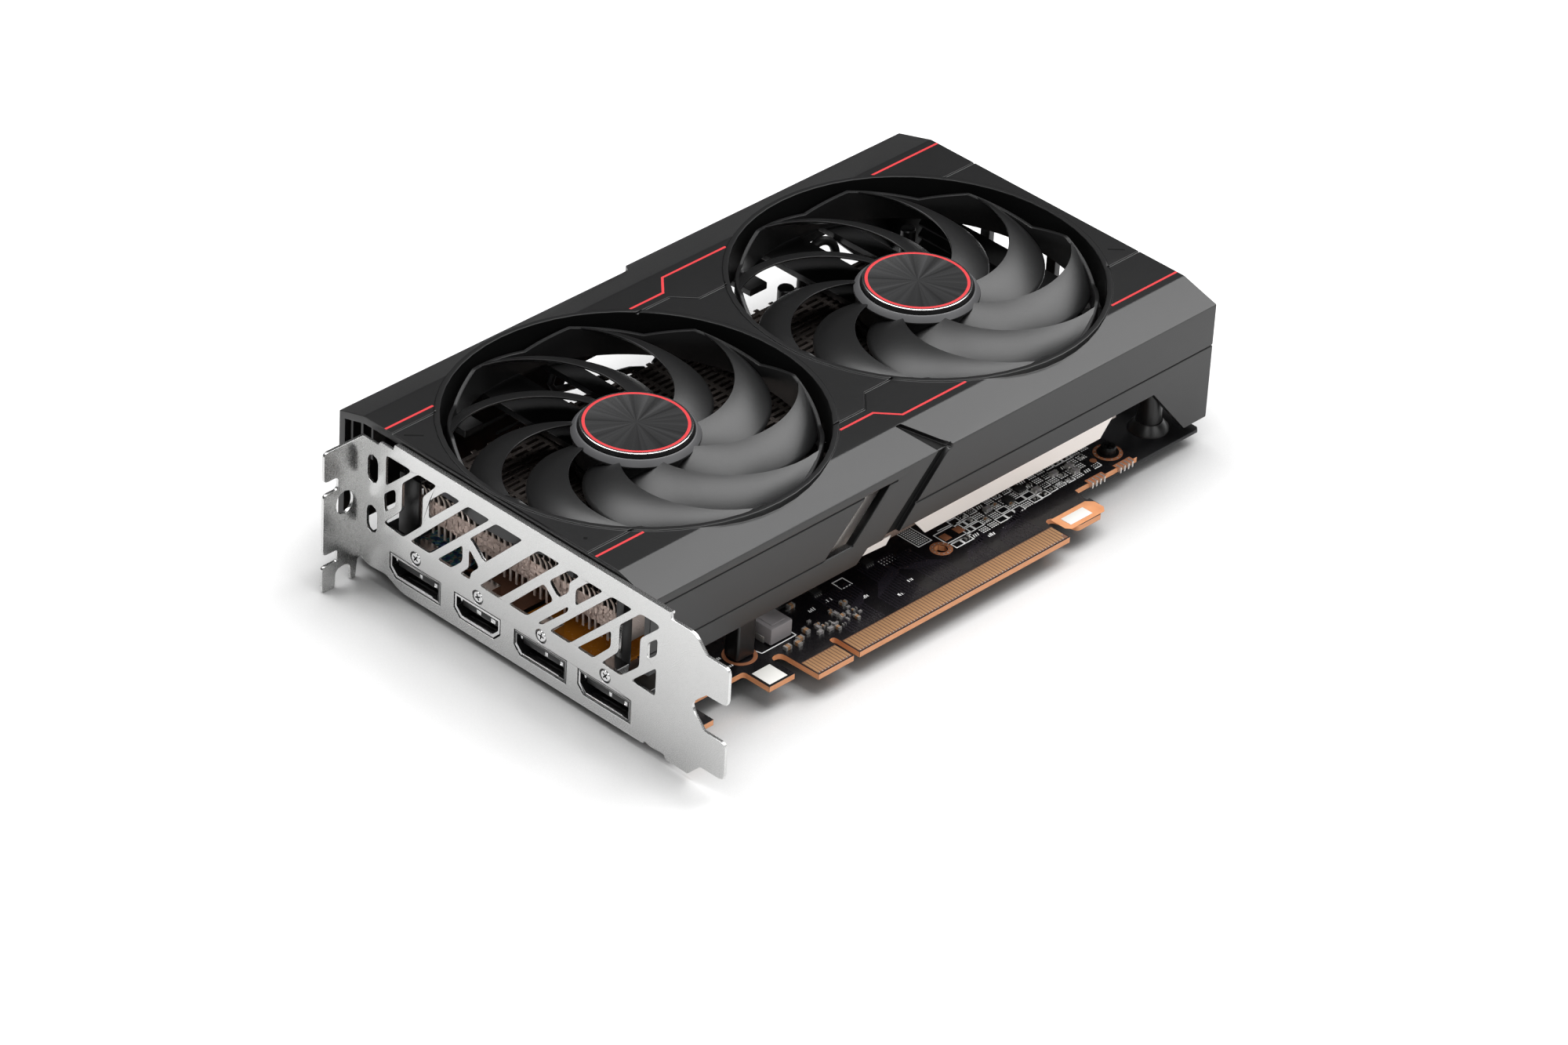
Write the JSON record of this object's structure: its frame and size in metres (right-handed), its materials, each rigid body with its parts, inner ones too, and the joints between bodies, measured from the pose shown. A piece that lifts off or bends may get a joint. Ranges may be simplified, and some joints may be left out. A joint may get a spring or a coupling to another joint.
{
  "type": "graphics card",
  "caption": "Compact air-cooled graphics card with a faceted black fan cover, an open-vent steel bracket and a bare board edge with gold contacts.",
  "frame": {"origin": "on the outer face of the steel bracket, level with the bottom edge of the edge connector (Y) and with the back face of the circuit board (Z)", "axes": "+X along the card away from the bracket, +Y from the edge connector to the top edge of the card, +Z out of the fans"},
  "size_m": [0.2048, 0.1325, 0.0428],
  "materials": {
    "cover_plastic": "satin black, finely grained",
    "fan_plastic": "satin black, finely grained",
    "hub_label": "black disc with a red ring and no lettering",
    "bracket_steel": "satin nickel plate",
    "plain_steel": "plated",
    "black_steel": "black oxide",
    "backplate_black": "black powder coat",
    "board_black": "black solder mask",
    "fin_aluminium": "bare stamped sheet",
    "copper": "bare copper",
    "brass": "sintered bronze",
    "silicon": "polished silicon",
    "chip_epoxy": "moulded epoxy",
    "ferrite": "pressed ferrite",
    "connector_plastic": "moulded",
    "cable_black": "sleeved"
  },
  "bodies": {
    "card": {"cover": "cover_plastic", "cover_post_front": "cover_plastic", "cover_post_end": "cover_plastic", "bracket": "bracket_steel", "circuit_board": "board_black", "backplate": "backplate_black", "spring_plate": "plain_steel", "cold_plate": "copper", "fin_stack": "fin_aluminium", "gpu_substrate": "board_black", "gpu_die": "silicon", "round_capacitor": "fin_aluminium", "power_connector": "connector_plastic", "board_screw": "black_steel", "fan_header": "connector_plastic", "hdmi_port": "plain_steel", "choke_front": "ferrite", "spring_screw_1": "plain_steel", "port_screw_1": "plain_steel", "memory_chip_1": "chip_epoxy", "spring_screw_2": "plain_steel", "port_screw_2": "plain_steel", "memory_chip_2": "chip_epoxy", "spring_screw_3": "plain_steel", "port_screw_3": "plain_steel", "memory_chip_3": "chip_epoxy", "spring_screw_4": "plain_steel", "port_screw_4": "plain_steel", "memory_chip_4": "chip_epoxy", "heat_pipe_1": "copper", "displayport_1": "plain_steel", "heat_pipe_2": "copper", "displayport_2": "plain_steel", "heat_pipe_3": "copper", "displayport_3": "plain_steel", "choke_1": "ferrite", "choke_2": "ferrite", "choke_3": "ferrite", "choke_4": "ferrite", "choke_5": "ferrite", "fan_frame_left": "cover_plastic", "fan_bearing_left": "brass", "fan_stator_left": "copper", "fan_cable_left": "cable_black", "fan_frame_right": "cover_plastic", "fan_bearing_right": "brass", "fan_stator_right": "copper", "fan_cable_right": "cable_black"},
    "fan_left": {"fan_rotor_left": "fan_plastic", "hub_cap_left": "hub_label", "fan_shaft_left": "plain_steel", "fan_magnet_left": "ferrite"},
    "fan_right": {"fan_rotor_right": "fan_plastic", "hub_cap_right": "hub_label", "fan_shaft_right": "plain_steel", "fan_magnet_right": "ferrite"}
  },
  "joints": [
    {"name": "fan_left_spin", "type": "hinge", "parent": "card", "child": "fan_left", "pos_m": [0.0489, 0.0659, 0.03], "axis": [0, 0, 1], "continuous": true},
    {"name": "fan_right_spin", "type": "hinge", "parent": "card", "child": "fan_right", "pos_m": [0.14355, 0.0659, 0.03], "axis": [0, 0, 1], "continuous": true}
  ]
}
